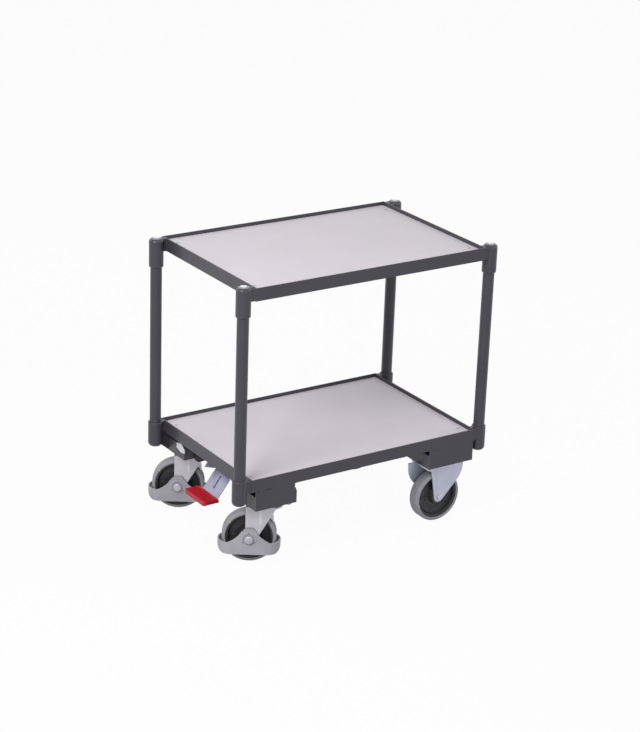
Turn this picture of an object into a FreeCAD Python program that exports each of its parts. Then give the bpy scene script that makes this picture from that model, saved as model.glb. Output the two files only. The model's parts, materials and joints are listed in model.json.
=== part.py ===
import FreeCAD, Part
import math
import os
import types

import Sketcher

# Two-tier shelf trolley: two angle-steel frames with inlaid boards on four tube posts,
# two fixed castors at one end, two swivel castors with foot guards at the other, and a
# foot pedal that brakes both swivel castors through one shaft.
# Millimetres, +Z up, X along the trolley, origin on the floor under the middle of the frame.

DIMENSIONS = {
    # Shelf frames and boards
    "frame_length": 616,
    "frame_width": 414,
    "angle_leg": 30,
    "angle_wall": 3,
    "shelf_spacing": 450,
    "board_thickness": 19,
    "board_gap": 1,
    "screw_head_radius": 4.5,
    "screw_head_depth": 3,
    "screw_radius": 2.4,
    "screw_clearance": 0.1,
    "screw_from_end": 20,
    "screw_from_side": 38,
    # Posts and the sleeves that hold them
    "post_radius": 13.45,
    "post_wall": 2.3,
    "post_plug": 20,
    "sleeve_radius": 16.85,
    "sleeve_clearance": 0.2,
    "sleeve_length": 67,
    "foot_sleeve_length": 62,
    "sleeve_end": 4,
    "sleeve_round": 7,
    "foot_end": 6,
    "foot_round": 10,
    "sleeve_chamfer": 1.5,
    "sleeve_rise": 2,
    "sleeve_outside": 23,
    "sleeve_inside": 14.5,
    "web_width": 12,
    "cap_radius": 12.5,
    "cap_height": 2.5,
    "cap_rim": 0.6,
    "cap_crown": 7.5,
    "cap_shank_radius": 4,
    "cap_shank_length": 20,
    # Castor brackets under the lower frame
    "bracket_height": 48,
    "bracket_wall": 3,
    "bracket_depth": 92,
    "bracket_side_drop": 14,
    "swivel_bracket_length": 108,
    "swivel_bracket_inset": 12,
    "fixed_bracket_length": 126,
    "fixed_bracket_inset": 1.5,
    "notch_length": 5,
    "notch_height": 18,
    "cutout_width": 32,
    "cutout_round": 9,
    "cutout_floor": 15,
    "cutout_from_end": 6,
    # Castor plates and their bolts
    "swivel_plate_length": 90,
    "fixed_plate_length": 95,
    "plate_edge": 3.5,
    "plate_thickness": 4,
    "plate_corner": 6,
    "bolt_pitch": 70,
    "swivel_bolt_spread": 54,
    "bolt_fork_gap": 0.3,
    "nut_wall_gap": 0.4,
    "bolt_radius": 4,
    "bolt_clearance": 0.25,
    "bolt_flat": 6.5,
    "bolt_head_height": 4,
    "nut_height": 6.5,
    "bolt_end": 3,
    # Wheels
    "wheel_radius": 62.5,
    "tyre_width": 32,
    "tyre_depth": 8,
    "tyre_shoulder": 6,
    "rim_width": 26,
    "rim_wall": 5,
    "web_thickness": 9,
    "web_bevel": 3.5,
    "hub_radius": 17,
    "hub_width": 33,
    "bush_radius": 10,
    "bush_gap": 0.2,
    "axle_radius": 5,
    "axle_clearance": 0.06,
    "fixed_axle_head_radius": 6.5,
    "swivel_axle_head_radius": 10,
    "axle_head_height": 5,
    "axle_head_round": 1.7,
    # Forks
    "castor_room": 25,
    "swivel_fork_half_width": 27,
    "swivel_leg_depth": 9,
    "fixed_fork_half_width": 21.5,
    "fixed_leg_depth": 4.7,
    "leg_wall": 3,
    "leg_round": 4,
    "leg_boss_radius": 9,
    "leg_fold_width": 5,
    "leg_fold_depth": 1.2,
    "fixed_leg_end_radius": 13,
    "fixed_leg_rear_angle": 9.5,
    "fixed_leg_front_angle": 46.5,
    "fixed_leg_brow_drop": 10,
    "fixed_leg_reach": 67,
    "fixed_leg_fold": 11,
    "swivel_leg_offset": 4,
    "swivel_leg_end_radius": 13,
    "swivel_leg_front_angle": 61,
    "swivel_leg_fold": 27,
    "fixed_inset": 80,
    # Swivel castors
    "swivel_inset": 74,
    "swivel_side_inset": 43.5,
    "castor_trail": 43,
    "castor_turn_angle": 33,
    "head_gap": 0.5,
    "race_height": 4.5,
    "race_radius": 32,
    "race_lip": 2,
    "crown_thickness": 4,
    "crown_radius": 30,
    "crown_front": 24,
    "kingpin_radius": 9,
    "kingpin_clearance": 0.3,
    "kingpin_flange_radius": 17,
    "kingpin_flange": 4,
    # Foot guards
    "guard_room": 9.5,
    "guard_width": 66,
    "guard_wall": 3,
    "guard_below_axle": 37.5,
    "guard_band_below_axle": 9.5,
    "guard_above_axle": 25.5,
    "guard_corner": 16,
    "guard_neck": 11,
    "guard_shoulder": 50,
    "guard_curve_radius": 90,
    "guard_boss_radius": 16,
    "guard_recess_radius": 13,
    "guard_recess": 1.5,
    # Central brake
    "shaft_rise": 20,
    "shaft_flat": 5.5,
    "shaft_end": 16.5,
    "cam_radius": 8,
    "cam_throw": 7.5,
    "cam_angle": 81,
    "cam_width": 14,
    "cam_gap": 0.3,
    "plunger_radius": 5,
    "plunger_clearance": 0.1,
    "plunger_head_radius": 10,
    "plunger_head_height": 4,
    "plunger_reach": 24,
    "shoe_gap": 0.3,
    "shoe_tyre_gap": 2.5,
    "shoe_half_length": 12,
    "shoe_half_width": 11,
    "shoe_toe": 8,
    "bearing_thickness": 8,
    "bearing_clearance": 0.1,
    "bearing_boss_radius": 9,
    "bearing_front": 34,
    "bearing_back": 14,
    "bearing_drop": 8,
    "bearing_round": 8,
    # Foot pedal
    "arm_hub_radius": 10,
    "arm_hub_clearance": 0.1,
    "arm_sheet": 3,
    "arm_half_width": 33,
    "arm_bar_gap": 35,
    "arm_bar_inner_depth": 1,
    "arm_bar_outer_depth": 12.5,
    "arm_link_length": 31,
    "arm_link_angle": 33,
    "arm_length": 52,
    "arm_angle": 52,
    "arm_tongue": 36,
    "arm_slot_length": 24,
    "arm_slot_width": 5,
    "arm_slot_from_bend": 13,
    "pedal_half_width": 45,
    "pedal_length": 40,
    "pedal_above": 4,
    "pedal_below": 2.5,
    "pedal_lip": 9,
    "pedal_corner": 7,
    "pedal_bevel": 3,
    "pedal_dish_radius": 75,
    "pedal_lip_drop": 1.5,
    "pedal_from_bend": 3,
    "tongue_clearance": 0.2,
}


class Size:
    """A dimension that carries its number and the sheet formula that gives it."""

    def __init__(self, value, formula):
        self.value = value
        self.formula = formula

    def combined(self, sign, other, value):
        return Size(value, f"({self.formula} {sign} {other.formula})")

    def __add__(self, other):
        other = size(other)
        return self.combined("+", other, self.value + other.value)

    def __sub__(self, other):
        other = size(other)
        return self.combined("-", other, self.value - other.value)

    def __mul__(self, other):
        other = size(other)
        return self.combined("*", other, self.value * other.value)

    def __truediv__(self, other):
        other = size(other)
        return self.combined("/", other, self.value / other.value)

    def __radd__(self, other):
        return size(other) + self

    def __rsub__(self, other):
        return size(other) - self

    def __rmul__(self, other):
        return size(other) * self

    def __neg__(self):
        return size(0) - self


def size(value):
    if isinstance(value, Size):
        return value
    return Size(float(value), f"({float(value)})")


def cosine(angle):
    return Size(math.cos(math.radians(angle.value)), f"cos({angle.formula} * 1 deg)")


def sine(angle):
    return Size(math.sin(math.radians(angle.value)), f"sin({angle.formula} * 1 deg)")


def root(area):
    return Size(math.sqrt(area.value), f"sqrt({area.formula})")


doc = FreeCAD.newDocument("shelf_trolley")
sheet = doc.addObject("Spreadsheet::Sheet", "dims")
for row, (alias, number) in enumerate(DIMENSIONS.items(), start=1):
    sheet.set(f"A{row}", alias)
    sheet.set(f"B{row}", str(number))
    sheet.setAlias(f"B{row}", alias)
doc.recompute()
dim = types.SimpleNamespace(**{alias: Size(float(sheet.get(alias)), f"dims.{alias}") for alias in DIMENSIONS})
nodes = []


def bind(thing, prop, value):
    thing.setExpression(prop, size(value).formula)


def node(thing, label):
    thing.Label = label
    nodes.append(thing)
    return thing


def place(thing, x, y, z, axis=(0, 0, 1), angle=0):
    """Put a sub-part at x, y, z, turned by an angle about an axis."""
    turn = FreeCAD.Rotation(FreeCAD.Vector(*axis), size(angle).value)
    thing.Placement = FreeCAD.Placement(FreeCAD.Vector(), turn)
    for letter, value in zip("xyz", (x, y, z)):
        bind(thing, f"Placement.Base.{letter}", value)
    if isinstance(angle, Size):
        bind(thing, "Placement.Rotation.Angle", angle)
    return thing


def new_body(name):
    return doc.addObject("PartDesign::Body", name)


def sketch_on(body, plane, name, lift=0):
    """A sketch on one of the body's own planes; XZ looks along +Y, so its lift runs towards -Y."""
    sketch = body.newObject("Sketcher::SketchObject", name)
    support = next(feature for feature in body.Origin.OriginFeatures if feature.Role == plane)
    sketch.AttachmentSupport = [(support, "")]
    sketch.MapMode = "FlatFace"
    if isinstance(lift, Size):
        bind(sketch, "AttachmentOffset.Base.z", lift)
    return sketch


def arc_between(start, end, radius, side):
    """The short arc from start to end, with its centre to the left (side 1) or right (side -1)."""
    chord = end - start
    across = FreeCAD.Vector(-chord.y, chord.x, 0).normalize()
    rise = math.sqrt(max(radius * radius - chord.Length * chord.Length / 4, 0))
    centre = (start + end) / 2 + across * rise * side
    angles = [math.atan2(point.y - centre.y, point.x - centre.x) for point in (start, end)]
    if side < 0:
        angles.reverse()
    return Part.ArcOfCircle(Part.Circle(centre, FreeCAD.Vector(0, 0, 1), radius), *angles)


def constrain(sketch, value, *where):
    number = sketch.addConstraint(Sketcher.Constraint(*where, size(value).value))
    bind(sketch, f"Constraints[{number}]", value)


def outline(sketch, corners):
    """A closed outline; a corner with a radius and a side starts an arc to the next corner."""
    corners = [tuple(corner) for corner in corners]
    points = [FreeCAD.Vector(size(corner[0]).value, size(corner[1]).value, 0) for corner in corners]
    spans = []
    for index, corner in enumerate(corners):
        start = points[index]
        end = points[(index + 1) % len(points)]
        if len(corner) == 2:
            span = sketch.addGeometry(Part.LineSegment(start, end), False)
            spans.append((span, 1, 2))
        else:
            radius, side = corner[2:]
            span = sketch.addGeometry(arc_between(start, end, size(radius).value, side), False)
            spans.append((span, 1, 2) if side > 0 else (span, 2, 1))
    for index, (span, _, last) in enumerate(spans):
        following, following_first, _ = spans[(index + 1) % len(spans)]
        sketch.addConstraint(Sketcher.Constraint("Coincident", span, last, following, following_first))
    for corner, (span, first, _) in zip(corners, spans):
        constrain(sketch, corner[0], "DistanceX", -1, 1, span, first)
        constrain(sketch, corner[1], "DistanceY", -1, 1, span, first)
        if len(corner) > 2:
            constrain(sketch, corner[2], "Radius", span)


def circle(sketch, x, y, radius):
    middle = FreeCAD.Vector(size(x).value, size(y).value, 0)
    ring = sketch.addGeometry(Part.Circle(middle, FreeCAD.Vector(0, 0, 1), size(radius).value), False)
    constrain(sketch, x, "DistanceX", -1, 1, ring, 3)
    constrain(sketch, y, "DistanceY", -1, 1, ring, 3)
    constrain(sketch, radius, "Radius", ring)


def rectangle(sketch, left, right, low, high):
    outline(sketch, [(left, low), (right, low), (right, high), (left, high)])


def pad(body, sketch, length, symmetric=False, backwards=False):
    feature = body.newObject("PartDesign::Pad", sketch.Name + "_pad")
    feature.Profile = sketch
    feature.SideType = "Symmetric" if symmetric else "One side"
    feature.Reversed = backwards
    bind(feature, "Length", length)
    return feature


def pocket(body, sketch, length=None):
    """A cut against the sketch's normal, or right through both ways when no length is given."""
    feature = body.newObject("PartDesign::Pocket", sketch.Name + "_pocket")
    feature.Profile = sketch
    if length is None:
        feature.Type = "ThroughAll"
        feature.SideType = "Symmetric"
    else:
        bind(feature, "Length", length)
    return feature


def revolve(body, sketch):
    feature = body.newObject("PartDesign::Revolution", sketch.Name + "_turned")
    feature.Profile = sketch
    feature.ReferenceAxis = (sketch, ["V_Axis"])
    return feature


def round_edges(body, base, radius, wanted):
    doc.recompute()
    edges = [f"Edge{i}" for i, edge in enumerate(base.Shape.Edges, start=1) if wanted(edge)]
    feature = body.newObject("PartDesign::Fillet", base.Name + "_round")
    feature.Base = (base, edges)
    bind(feature, "Radius", radius)
    return feature


def turned(name, corners, plane="XZ_Plane"):
    """A turned piece from half of its section, about Z (XZ plane) or about Y (XY plane)."""
    body = new_body(name)
    section = sketch_on(body, plane, name + "_section")
    outline(section, corners)
    revolve(body, section)
    return body


def combined(kind, name, parts):
    result = doc.addObject(kind, name)
    if kind == "Part::Cut":
        result.Base, result.Tool = parts
    elif kind == "Part::Compound":
        result.Links = parts
    else:
        result.Shapes = parts
    return result


def group(label, source, spots):
    """Separate copies of one piece at each spot, kept together as one node."""
    copies = []
    for spot in spots:
        copy = doc.addObject("App::Link", label + "_copy")
        copy.LinkedObject = source
        copies.append(place(copy, *spot))
    return node(combined("Part::Compound", label, copies), label)


SAME_PLACE = 1e-6
HALF_TURN = math.degrees(math.pi)
QUARTER_TURN = HALF_TURN / 2
ENDS = {"left": -1, "right": 1}
SIDES = {"front": -1, "back": 1}
half_length = dim.frame_length / 2
half_width = dim.frame_width / 2
fixed_x = half_length - dim.fixed_inset
swivel_x = half_length - dim.swivel_inset
fixed_bolt_spread = (dim.fixed_fork_half_width + dim.bolt_fork_gap + dim.bolt_flat) * 2
fixed_side_inset = dim.bracket_wall + dim.nut_wall_gap + dim.bolt_flat + fixed_bolt_spread / 2
fixed_y = half_width - fixed_side_inset
swivel_y = half_width - dim.swivel_side_inset
bracket_inner = half_width - dim.bracket_depth
castor_height = dim.wheel_radius * 2 + dim.castor_room
shaft_height = castor_height + dim.shaft_rise
plunger_foot = castor_height - dim.plunger_reach
lower_top = castor_height + dim.bracket_height + dim.angle_leg
upper_top = lower_top + dim.shelf_spacing
SHELF_TOPS = {"lower": lower_top, "upper": upper_top}


def make_rail(label, length, shelf_top, side_x, side_y, turn, screw_spots):
    """Angle-steel rail with mitred ends: its upright leg outside, its flange inside below the board."""
    body = new_body(label)
    section = sketch_on(body, "YZ_Plane", label + "_section")
    leg = dim.angle_leg
    wall = dim.angle_wall
    outline(section, [(0, 0), (leg, 0), (leg, wall), (wall, wall), (wall, leg), (0, leg)])
    pad(body, section, length, symmetric=True)
    mitres = sketch_on(body, "XY_Plane", label + "_mitres")
    for end in ENDS.values():
        past = end * (length / 2 + wall)
        inner = end * (length / 2 - leg - wall)
        outline(mitres, [(past, -wall), (inner, leg + wall), (past, leg + wall)])
    pocket(body, mitres)
    if screw_spots:
        holes = sketch_on(body, "XY_Plane", label + "_holes")
        for along, inward in screw_spots:
            circle(holes, along, inward, dim.screw_radius + dim.screw_clearance)
        pocket(body, holes)
    place(body, side_x, side_y, shelf_top - leg, angle=turn)
    node(body, label)


def make_frames():
    screw_along = half_width - dim.screw_from_side
    end_screws = [(side * screw_along, dim.screw_from_end) for side in SIDES.values()]
    for shelf, top in SHELF_TOPS.items():
        for side, sign in SIDES.items():
            turn = 0 if sign < 0 else HALF_TURN
            make_rail(f"{shelf}_{side}_rail", dim.frame_length, top, 0, sign * half_width, turn, [])
        for end, sign in ENDS.items():
            make_rail(f"{shelf}_{end}_rail", dim.frame_width, top, sign * half_length, 0,
                      sign * QUARTER_TURN, end_screws)


def make_boards():
    spots = []
    for shelf, top in SHELF_TOPS.items():
        label = f"{shelf}_board"
        body = new_body(label)
        face = sketch_on(body, "XY_Plane", label + "_face")
        reach_x = half_length - dim.angle_wall - dim.board_gap
        reach_y = half_width - dim.angle_wall - dim.board_gap
        rectangle(face, -reach_x, reach_x, -reach_y, reach_y)
        pad(body, face, dim.board_thickness)
        shanks = sketch_on(body, "XY_Plane", label + "_holes")
        heads = sketch_on(body, "XY_Plane", label + "_seats", dim.board_thickness)
        bottom = top - dim.angle_leg + dim.angle_wall
        for end in ENDS.values():
            for side in SIDES.values():
                x = end * (half_length - dim.screw_from_end)
                y = side * (half_width - dim.screw_from_side)
                circle(shanks, x, y, dim.screw_radius + dim.screw_clearance)
                circle(heads, x, y, dim.screw_head_radius + dim.screw_clearance)
                spots.append((x, y, bottom + dim.board_thickness))
        pocket(body, shanks)
        pocket(body, heads, dim.screw_head_depth)
        place(body, 0, 0, bottom)
        node(body, label)
    head = dim.screw_head_depth
    tip = dim.board_thickness + dim.angle_wall
    screw = turned("board_screw", [(0, 0), (0, -tip), (dim.screw_radius, -tip), (dim.screw_radius, -head),
                                   (dim.screw_head_radius, -head), (dim.screw_head_radius, 0)])
    group("board_screws", screw, spots)


def make_sleeve(label, x, y, z, web_drop, turn, inverted):
    """Tube sleeve with a web that welds it to the end rail; its end has a screw hole, or is a round foot."""
    radius = dim.sleeve_radius
    bore = dim.post_radius + dim.sleeve_clearance
    hole = size(0) if inverted else dim.cap_shank_radius + dim.screw_clearance
    end = dim.foot_end if inverted else dim.sleeve_end
    edge = dim.foot_round if inverted else dim.sleeve_round
    length = dim.foot_sleeve_length if inverted else dim.sleeve_length
    chamfer = dim.sleeve_chamfer
    body = turned(label, [(hole, 0), (radius - edge, 0, edge, -1), (radius, -edge),
                          (radius, chamfer - length), (radius - chamfer, -length), (bore, -length),
                          (bore, -end), (hole, -end)])
    web = sketch_on(body, "XY_Plane", label + "_web", -web_drop)
    rectangle(web, (bore + radius) / 2, dim.sleeve_outside, -dim.web_width / 2, dim.web_width / 2)
    pad(body, web, dim.angle_leg, backwards=True)
    if inverted:
        axis = (1, 0, 0) if turn == 0 else (0, 1, 0)
        place(body, x, y, z, axis=axis, angle=HALF_TURN)
    else:
        place(body, x, y, z, angle=turn)
    node(body, label)


def make_posts():
    upper_end = upper_top + dim.sleeve_rise
    lower_end = lower_top + dim.sleeve_rise - dim.foot_sleeve_length
    foot = lower_end + dim.foot_end
    length = upper_end - dim.sleeve_end - foot
    hole = dim.cap_shank_radius + dim.screw_clearance
    inner = dim.post_radius - dim.post_wall
    plug = dim.post_plug
    cap = turned("cap_screw", [(0, -dim.cap_shank_length), (dim.cap_shank_radius, -dim.cap_shank_length),
                               (dim.cap_shank_radius, 0), (dim.cap_radius, 0),
                               (dim.cap_radius, dim.cap_rim), (dim.cap_crown, dim.cap_height),
                               (0, dim.cap_height)])
    spots = []
    for end, end_sign in ENDS.items():
        for side, side_sign in SIDES.items():
            corner = f"{side}_{end}"
            x = end_sign * (half_length + dim.sleeve_outside)
            y = side_sign * (half_width - dim.sleeve_inside)
            turn = 0 if end_sign < 0 else HALF_TURN
            make_sleeve(f"upper_{corner}_sleeve", x, y, upper_end, dim.sleeve_rise, turn, False)
            lower_web = dim.foot_sleeve_length - dim.sleeve_rise - dim.angle_leg
            make_sleeve(f"lower_{corner}_sleeve", x, y, lower_end, lower_web, turn, True)
            post = turned(f"{corner}_post", [(inner, 0), (dim.post_radius, 0), (dim.post_radius, length),
                                             (hole, length), (hole, length - plug), (inner, length - plug)])
            node(place(post, x, y, foot), f"{corner}_post")
            spots.append((x, y, upper_end))
    group("cap_screws", cap, spots)


def plate_bolt_spots(x, y, z, spread):
    return [(x + i * dim.bolt_pitch / 2, y + j * spread / 2, z)
            for i in (-1, 1) for j in (-1, 1)]


def make_bracket(label, length, castor_at, start_x, side, swivel, cut_at_start):
    """Folded tray under the rail: tall outer wall, lower side and inner walls, a floor for the castor."""
    body = new_body(label)
    wall = dim.bracket_wall
    depth = dim.bracket_depth
    height = dim.bracket_height
    across = dim.swivel_side_inset if swivel else fixed_side_inset
    spread = dim.swivel_bolt_spread if swivel else fixed_bolt_spread
    base = sketch_on(body, "XY_Plane", label + "_base")
    rectangle(base, 0, length, 0, depth)
    pad(body, base, height)
    inside = sketch_on(body, "XY_Plane", label + "_inside", height)
    rectangle(inside, wall, length - wall, wall, depth - wall)
    pocket(body, inside, height - wall)
    drop = sketch_on(body, "XY_Plane", label + "_drop", height)
    rectangle(drop, -wall, length + wall, wall, depth + wall)
    pocket(body, drop, dim.bracket_side_drop)
    if swivel:
        notch = sketch_on(body, "XZ_Plane", label + "_notch")
        rows = (height - dim.notch_height, height + wall)
        if cut_at_start:
            rectangle(notch, length - dim.notch_length, length + wall, *rows)
        else:
            rectangle(notch, -wall, dim.notch_length, *rows)
        pocket(body, notch, wall)
    cutout = sketch_on(body, "YZ_Plane", label + "_cutout", wall if cut_at_start else length)
    far = depth - dim.cutout_from_end
    near = far - dim.cutout_width
    bend = dim.cutout_round
    low = dim.cutout_floor
    outline(cutout, [(near, height), (near, low + bend, bend, 1), (near + bend, low),
                     (far - bend, low, bend, 1), (far, low + bend), (far, height)])
    pocket(body, cutout, wall)
    holes = sketch_on(body, "XY_Plane", label + "_holes")
    for x, y, _ in plate_bolt_spots(castor_at, across, 0, spread):
        circle(holes, x, y, dim.bolt_radius + dim.bolt_clearance)
    if swivel:
        circle(holes, castor_at, across, dim.kingpin_radius)
    pocket(body, holes)
    if swivel:
        window = sketch_on(body, "XZ_Plane", label + "_shaft_hole", wall - depth)
        circle(window, castor_at, dim.shaft_rise, dim.bearing_boss_radius + dim.bearing_clearance)
        pocket(body, window, wall)
    turn = 0 if side < 0 else HALF_TURN
    place(body, start_x, side * half_width, castor_height, angle=turn)
    node(body, label)


def make_brackets():
    swivel_start = dim.swivel_bracket_inset - half_length
    swivel_at = -swivel_x - swivel_start
    fixed_start = half_length - dim.fixed_bracket_inset - dim.fixed_bracket_length
    fixed_at = fixed_x - fixed_start
    swivel = dim.swivel_bracket_length
    fixed = dim.fixed_bracket_length
    make_bracket("swivel_front_bracket", swivel, swivel_at, swivel_start, -1, True, True)
    make_bracket("swivel_back_bracket", swivel, swivel - swivel_at, swivel_start + swivel, 1, True, False)
    make_bracket("fixed_front_bracket", fixed, fixed_at, fixed_start, -1, False, True)
    make_bracket("fixed_back_bracket", fixed, fixed - fixed_at, fixed_start + fixed, 1, False, False)
    spots = []
    for side in SIDES.values():
        for x, y, spread in ((-swivel_x, swivel_y, dim.swivel_bolt_spread),
                             (fixed_x, fixed_y, fixed_bolt_spread)):
            spots += plate_bolt_spots(x, side * y, castor_height - dim.plate_thickness, spread)
    grip = dim.bracket_wall + dim.plate_thickness
    bolt = new_body("plate_bolt")
    head = sketch_on(bolt, "XY_Plane", "plate_bolt_head")
    hexagon(head, dim.bolt_flat)
    pad(bolt, head, dim.bolt_head_height, backwards=True)
    shank = sketch_on(bolt, "XY_Plane", "plate_bolt_shank")
    circle(shank, 0, 0, dim.bolt_radius)
    pad(bolt, shank, grip + dim.nut_height + dim.bolt_end)
    nut = new_body("plate_nut")
    flats = sketch_on(nut, "XY_Plane", "plate_nut_flats", grip)
    hexagon(flats, dim.bolt_flat)
    circle(flats, 0, 0, dim.bolt_radius)
    pad(nut, flats, dim.nut_height)
    pair = combined("Part::Compound", "plate_bolt_and_nut", [bolt, nut])
    group("castor_bolts_and_nuts", pair, spots)


def hexagon(sketch, flat):
    """A regular hexagon by the distance from its middle to a flat."""
    point = flat * 2 / root(size(3))
    outline(sketch, [(point, 0), (point / 2, flat), (-point / 2, flat), (-point, 0), (-point / 2, -flat),
                     (point / 2, -flat)])


def plate_outline(sketch, x, length, spread):
    """Castor plate with rounded corners, its middle at x and its bolts spread across it."""
    far = length / 2
    wide = spread / 2 + dim.bolt_radius + dim.bolt_clearance + dim.plate_edge
    bend = dim.plate_corner
    outline(sketch, [(x - far + bend, -wide), (x + far - bend, -wide, bend, 1), (x + far, bend - wide),
                     (x + far, wide - bend, bend, 1), (x + far - bend, wide), (x - far + bend, wide, bend, 1),
                     (x - far, wide - bend), (x - far, bend - wide, bend, 1)])


def leg_outline(sketch, tip_x, top, end, lean, slope, brow):
    """Outline of a fork leg: leaning rear edge, round end, sloping front edge and perhaps a round brow."""
    tip_z = dim.wheel_radius
    rise = top - tip_z
    corners = [(tip_x - (end + rise * sine(lean)) / cosine(lean), top),
               (tip_x - end * cosine(lean), tip_z - end * sine(lean), end, 1),
               (tip_x + end * sine(slope), tip_z - end * cosine(slope))]
    if brow:
        reach, height = brow
        radius = (end + (height - tip_z) * cosine(slope) - reach * sine(slope)) / (1 - sine(slope))
        knee_x = tip_x + reach - radius + radius * sine(slope)
        corners += [(knee_x, height - radius * cosine(slope), radius, 1), (tip_x + reach, height),
                    (tip_x + reach, top)]
    else:
        corners.append((tip_x + (end + rise * cosine(slope)) / sine(slope), top))
    outline(sketch, corners)


def make_leg(name, outer, depth, axle_x, tip_x, top, edges, fold):
    """Pressed fork leg, a flanged channel whose face is folded inwards past a vertical line.

    Its top edge lies inside the plate or crown that carries it."""
    body = new_body(name)
    wall = dim.leg_wall
    end, lean, slope, brow = edges
    face = sketch_on(body, "XZ_Plane", name + "_face", outer)
    leg_outline(face, tip_x, top, end, lean, slope, brow)
    block = pad(body, face, depth, backwards=True)
    round_edges(body, block, dim.leg_round,
                lambda edge: abs(edge.BoundBox.YMax + outer.value) < SAME_PLACE
                and edge.BoundBox.ZMin < top.value)
    hollow = sketch_on(body, "XZ_Plane", name + "_hollow", outer - depth)
    leg_outline(hollow, tip_x, top + wall, end - wall, lean, slope, brow and (brow[0] - wall, brow[1]))
    pocket(body, hollow, depth - wall).Reversed = True
    bent = sketch_on(body, "XY_Plane", name + "_fold")
    line, side = fold
    fall = dim.leg_fold_depth
    past = line + side * dim.fixed_plate_length
    outline(bent, [(line, -outer), (line + side * dim.leg_fold_width, fall - outer), (past, fall - outer),
                   (past, -outer - fall), (line, -outer - fall)])
    pocket(body, bent)
    boss = sketch_on(body, "XZ_Plane", name + "_boss", outer - depth)
    circle(boss, axle_x, dim.wheel_radius, dim.leg_boss_radius)
    pad(body, boss, depth - wall)
    hole = sketch_on(body, "XZ_Plane", name + "_axle_hole")
    circle(hole, axle_x, dim.wheel_radius, dim.axle_radius + dim.axle_clearance)
    pocket(body, hole)
    return body


def mirrored(name, source, normal):
    """A copy of a solid, mirrored through the origin across a normal."""
    copy = doc.addObject("Part::Mirroring", name)
    copy.Source = source
    copy.Normal = FreeCAD.Vector(*normal)
    return copy


def make_fixed_fork(side, sign):
    label = f"fixed_{side}_fork"
    plate = new_body(label + "_plate")
    plate_floor = castor_height - dim.plate_thickness
    face = sketch_on(plate, "XY_Plane", label + "_plate_face", plate_floor)
    plate_outline(face, size(0), dim.fixed_plate_length, fixed_bolt_spread)
    for x, y, _ in plate_bolt_spots(size(0), 0, 0, fixed_bolt_spread):
        circle(face, x, y, dim.bolt_radius + dim.bolt_clearance)
    pad(plate, face, dim.plate_thickness)
    leg_top = plate_floor + dim.plate_thickness / 2
    edges = (dim.fixed_leg_end_radius, dim.fixed_leg_rear_angle, dim.fixed_leg_front_angle,
             (dim.fixed_leg_reach, leg_top - dim.fixed_leg_brow_drop))
    leg = make_leg(label + "_leg", dim.fixed_fork_half_width, dim.fixed_leg_depth, size(0), size(0), leg_top,
                   edges, (-dim.fixed_leg_fold, -1))
    # Both legs have the same form, so the far one is the near one turned half round about the plate's middle.
    across = mirrored(label + "_leg_across", leg, (0, 1, 0))
    far_leg = mirrored(label + "_far_leg", across, (1, 0, 0))
    fork = combined("Part::MultiFuse", label, [leg, far_leg, plate])
    node(place(fork, fixed_x, sign * fixed_y, 0), label)


def make_wheel(label, x, y, along, turn, room):
    """Tyre, rim and hub bush about the axle, along Y before the castor turns; room is to the fork's legs."""
    radius = dim.wheel_radius
    rim = radius - dim.tyre_depth
    half = dim.tyre_width / 2
    edge = dim.tyre_shoulder
    middle_x = x + along[0]
    middle_y = y + along[1]
    spot = (middle_x, middle_y, radius, (0, 0, -1), turn)
    section = [(rim, -half), (radius - edge, -half, edge, 1), (radius, edge - half),
               (radius, half - edge, edge, 1), (radius - edge, half), (rim, half)]
    tyre = turned(f"{label}_tyre", section, "XY_Plane")
    node(place(tyre, *spot), f"{label}_tyre")
    hub = dim.hub_width / 2
    lip = dim.rim_width / 2
    web = dim.web_thickness / 2
    bevel = dim.web_bevel
    inner = rim - dim.rim_wall
    section = [(dim.bush_radius, -hub), (dim.hub_radius, -hub), (dim.hub_radius + bevel, -web),
               (inner - bevel, -web), (inner, -lip), (rim, -lip), (rim, lip), (inner, lip),
               (inner - bevel, web), (dim.hub_radius + bevel, web), (dim.hub_radius, hub),
               (dim.bush_radius, hub)]
    disc = turned(f"{label}_rim", section, "XY_Plane")
    node(place(disc, *spot), f"{label}_rim")
    reach = room - dim.bush_gap
    bore = dim.axle_radius + dim.axle_clearance
    section = [(bore, -reach), (dim.bush_radius, -reach), (dim.bush_radius, reach), (bore, reach)]
    bush = turned(f"{label}_bush", section, "XY_Plane")
    node(place(bush, *spot), f"{label}_bush")


def make_axle(name, grip, head):
    """Axle bolt with a domed head at one end and a nut at the other; grip is half of what it clamps."""
    crown = dim.axle_head_height
    shank = dim.axle_radius
    soft = dim.axle_head_round
    section = [(0, -grip - crown), (head - soft, -grip - crown, soft, 1), (head, soft - grip - crown),
               (head, -grip), (shank, -grip), (shank, grip), (head, grip), (head, grip + crown),
               (0, grip + crown)]
    return turned(name, section, "XY_Plane")


def make_fixed_castors():
    axle = make_axle("fixed_axle", dim.fixed_fork_half_width, dim.fixed_axle_head_radius)
    room = dim.fixed_fork_half_width - dim.fixed_leg_depth
    spots = []
    for side, sign in SIDES.items():
        make_fixed_fork(side, sign)
        make_wheel(f"fixed_{side}", fixed_x, sign * fixed_y, (size(0), size(0)), 0, room)
        spots.append((fixed_x, sign * fixed_y, dim.wheel_radius))
    group("fixed_axles", axle, spots)


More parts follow.
